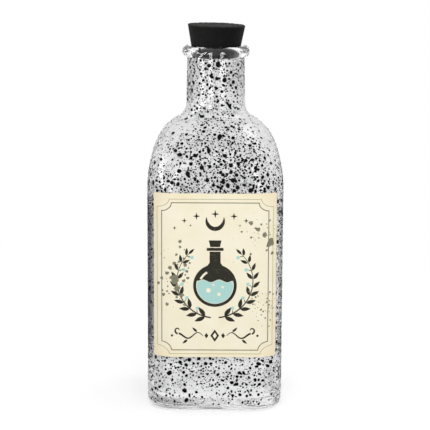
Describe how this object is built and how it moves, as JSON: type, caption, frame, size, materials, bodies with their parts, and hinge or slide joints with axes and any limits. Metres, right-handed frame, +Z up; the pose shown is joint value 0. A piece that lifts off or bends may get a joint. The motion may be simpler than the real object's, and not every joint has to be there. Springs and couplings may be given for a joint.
{
  "type": "potion bottle",
  "caption": "Square clear-glass apothecary bottle with domed shoulders, bead lip, paper front label, black paint splatter and a tapered black stopper that pulls out.",
  "frame": {"origin": "on the surface the bottle stands on, below the middle of its body", "axes": "+Z up along the neck, -Y out of the labelled front, +X to the right seen from the front"},
  "size_m": [0.085, 0.0855, 0.2395],
  "materials": {
    "clear_glass": "polished",
    "black_stopper": "matte",
    "label_paper": "matte",
    "label_ink": "matte",
    "black_paint": "satin"
  },
  "bodies": {
    "bottle": {"glass_bottle": "clear_glass", "front_label": "label_paper"},
    "stopper": {"stopper": "black_stopper"}
  },
  "joints": [
    {"name": "stopper_pull", "type": "slide", "parent": "bottle", "child": "stopper", "axis": [0, 0, 1], "range_m": [0, 0.04]}
  ]
}
